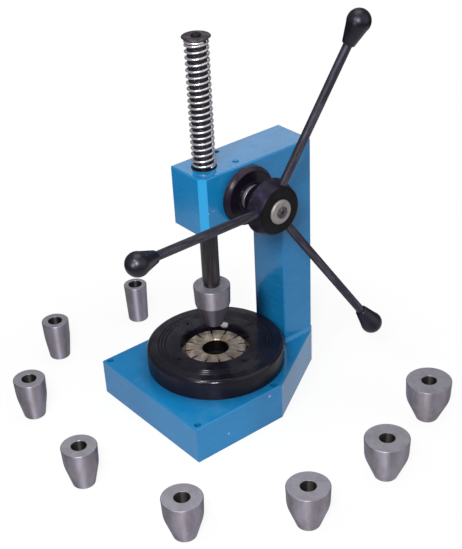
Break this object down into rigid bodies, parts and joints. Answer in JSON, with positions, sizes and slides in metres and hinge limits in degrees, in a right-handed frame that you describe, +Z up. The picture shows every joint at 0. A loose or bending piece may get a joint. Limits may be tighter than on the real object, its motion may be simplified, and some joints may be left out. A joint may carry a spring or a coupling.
{
  "type": "bangle sizing press",
  "caption": "Hand press on a thick base: a capstan handle drives a toothed ram whose conical plug spreads a ring of sliding segments to size a bangle; spare plugs stand around it.",
  "frame": {"origin": "on the axis of the ram and the die, at the underside of the base", "axes": "+Z up along the ram, +Y from the ram to the column, +X to the handle's side"},
  "size_m": [0.3615, 0.3033, 0.3427],
  "materials": {
    "blue_enamel": "glossy light blue enamel",
    "black_enamel": "glossy black",
    "black_steel": "blackened steel",
    "turned_steel": "turned bright steel",
    "ground_steel": "ground steel",
    "spring_wire": "bright wire",
    "bronze": "turned bronze",
    "black_knob": "glossy moulded plastic",
    "rubber": "matt rubber"
  },
  "bodies": {
    "frame": {"base_plate": "blue_enamel", "upright": "blue_enamel", "column_bolts": "black_steel", "upper_bush": "bronze", "lower_bush": "bronze", "left_bush": "bronze", "bearing_flange": "black_enamel", "flange_bush": "turned_steel", "bush_set_screws": "blue_enamel", "spring_seat_washer": "black_steel", "die_housing": "black_enamel", "die_cover": "black_enamel", "cover_screws": "black_enamel", "housing_screws": "black_steel", "guide_pins": "turned_steel", "garter_spring": "spring_wire", "return_spring": "spring_wire"},
    "handle": {"pinion_shaft": "turned_steel", "hub": "black_enamel", "hub_key": "turned_steel", "hub_washer": "turned_steel", "hub_screw": "black_steel", "spoke_1": "black_steel", "spoke_2": "black_steel", "spoke_3": "black_steel", "knob_1": "black_knob", "knob_2": "black_knob", "knob_3": "black_knob"},
    "ram_body": {"ram": "black_steel", "spring_cap": "black_steel", "cap_screw": "black_steel", "fitted_plug": "turned_steel", "plug_ring": "rubber"},
    "segment_1_body": {"segment_1": "ground_steel"},
    "segment_2_body": {"segment_2": "ground_steel"},
    "segment_3_body": {"segment_3": "ground_steel"},
    "segment_4_body": {"segment_4": "ground_steel"},
    "segment_5_body": {"segment_5": "ground_steel"},
    "segment_6_body": {"segment_6": "ground_steel"},
    "segment_7_body": {"segment_7": "ground_steel"},
    "segment_8_body": {"segment_8": "ground_steel"},
    "segment_9_body": {"segment_9": "ground_steel"},
    "segment_10_body": {"segment_10": "ground_steel"},
    "segment_11_body": {"segment_11": "ground_steel"},
    "segment_12_body": {"segment_12": "ground_steel"},
    "plug_1_body": {"plug_1": "turned_steel"},
    "plug_2_body": {"plug_2": "turned_steel"},
    "plug_3_body": {"plug_3": "turned_steel"},
    "plug_4_body": {"plug_4": "turned_steel"},
    "plug_5_body": {"plug_5": "turned_steel"},
    "plug_6_body": {"plug_6": "turned_steel"},
    "plug_7_body": {"plug_7": "turned_steel"},
    "plug_8_body": {"plug_8": "turned_steel"}
  },
  "joints": [
    {"name": "handle_turn", "type": "hinge", "parent": "frame", "child": "handle", "pos_m": [0, 0.0235, 0.1945], "axis": [1, 0, 0], "range_deg": [0, 132]},
    {"name": "ram_slide", "type": "slide", "parent": "frame", "child": "ram_body", "axis": [0, 0, -1], "range_m": [0, 0.0416], "stiffness_N_per_m": 800, "springref_m": -0.02, "deforming": ["return_spring"]},
    {"name": "segment_1_slide", "type": "slide", "parent": "frame", "child": "segment_1_body", "axis": [0.9659, 0.2588, 0], "range_m": [0, 0.00181], "deforming": ["garter_spring"]},
    {"name": "segment_2_slide", "type": "slide", "parent": "frame", "child": "segment_2_body", "axis": [0.7071, 0.7071, 0], "range_m": [0, 0.00181]},
    {"name": "segment_3_slide", "type": "slide", "parent": "frame", "child": "segment_3_body", "axis": [0.2588, 0.9659, 0], "range_m": [0, 0.00181]},
    {"name": "segment_4_slide", "type": "slide", "parent": "frame", "child": "segment_4_body", "axis": [-0.2588, 0.9659, 0], "range_m": [0, 0.00181]},
    {"name": "segment_5_slide", "type": "slide", "parent": "frame", "child": "segment_5_body", "axis": [-0.7071, 0.7071, 0], "range_m": [0, 0.00181]},
    {"name": "segment_6_slide", "type": "slide", "parent": "frame", "child": "segment_6_body", "axis": [-0.9659, 0.2588, 0], "range_m": [0, 0.00181]},
    {"name": "segment_7_slide", "type": "slide", "parent": "frame", "child": "segment_7_body", "axis": [-0.9659, -0.2588, 0], "range_m": [0, 0.00181]},
    {"name": "segment_8_slide", "type": "slide", "parent": "frame", "child": "segment_8_body", "axis": [-0.7071, -0.7071, 0], "range_m": [0, 0.00181]},
    {"name": "segment_9_slide", "type": "slide", "parent": "frame", "child": "segment_9_body", "axis": [-0.2588, -0.9659, 0], "range_m": [0, 0.00181]},
    {"name": "segment_10_slide", "type": "slide", "parent": "frame", "child": "segment_10_body", "axis": [0.2588, -0.9659, 0], "range_m": [0, 0.00181]},
    {"name": "segment_11_slide", "type": "slide", "parent": "frame", "child": "segment_11_body", "axis": [0.7071, -0.7071, 0], "range_m": [0, 0.00181]},
    {"name": "segment_12_slide", "type": "slide", "parent": "frame", "child": "segment_12_body", "axis": [0.9659, -0.2588, 0], "range_m": [0, 0.00181]},
    {"name": "plug_1_lift", "type": "slide", "parent": "frame", "child": "plug_1_body", "axis": [0, 0, 1], "range_m": [0, 0.12]},
    {"name": "plug_2_lift", "type": "slide", "parent": "frame", "child": "plug_2_body", "axis": [0, 0, 1], "range_m": [0, 0.12]},
    {"name": "plug_3_lift", "type": "slide", "parent": "frame", "child": "plug_3_body", "axis": [0, 0, 1], "range_m": [0, 0.12]},
    {"name": "plug_4_lift", "type": "slide", "parent": "frame", "child": "plug_4_body", "axis": [0, 0, 1], "range_m": [0, 0.12]},
    {"name": "plug_5_lift", "type": "slide", "parent": "frame", "child": "plug_5_body", "axis": [0, 0, 1], "range_m": [0, 0.12]},
    {"name": "plug_6_lift", "type": "slide", "parent": "frame", "child": "plug_6_body", "axis": [0, 0, 1], "range_m": [0, 0.12]},
    {"name": "plug_7_lift", "type": "slide", "parent": "frame", "child": "plug_7_body", "axis": [0, 0, 1], "range_m": [0, 0.12]},
    {"name": "plug_8_lift", "type": "slide", "parent": "frame", "child": "plug_8_body", "axis": [0, 0, 1], "range_m": [0, 0.12]}
  ],
  "couplings": [
    {"joint": "ram_slide", "follows": "handle_turn", "m_per_rad": 0.018},
    {"joint": "segment_1_slide", "follows": "handle_turn", "m_per_rad": 0.000781},
    {"joint": "segment_2_slide", "follows": "handle_turn", "m_per_rad": 0.000781},
    {"joint": "segment_3_slide", "follows": "handle_turn", "m_per_rad": 0.000781},
    {"joint": "segment_4_slide", "follows": "handle_turn", "m_per_rad": 0.000781},
    {"joint": "segment_5_slide", "follows": "handle_turn", "m_per_rad": 0.000781},
    {"joint": "segment_6_slide", "follows": "handle_turn", "m_per_rad": 0.000781},
    {"joint": "segment_7_slide", "follows": "handle_turn", "m_per_rad": 0.000781},
    {"joint": "segment_8_slide", "follows": "handle_turn", "m_per_rad": 0.000781},
    {"joint": "segment_9_slide", "follows": "handle_turn", "m_per_rad": 0.000781},
    {"joint": "segment_10_slide", "follows": "handle_turn", "m_per_rad": 0.000781},
    {"joint": "segment_11_slide", "follows": "handle_turn", "m_per_rad": 0.000781},
    {"joint": "segment_12_slide", "follows": "handle_turn", "m_per_rad": 0.000781}
  ]
}
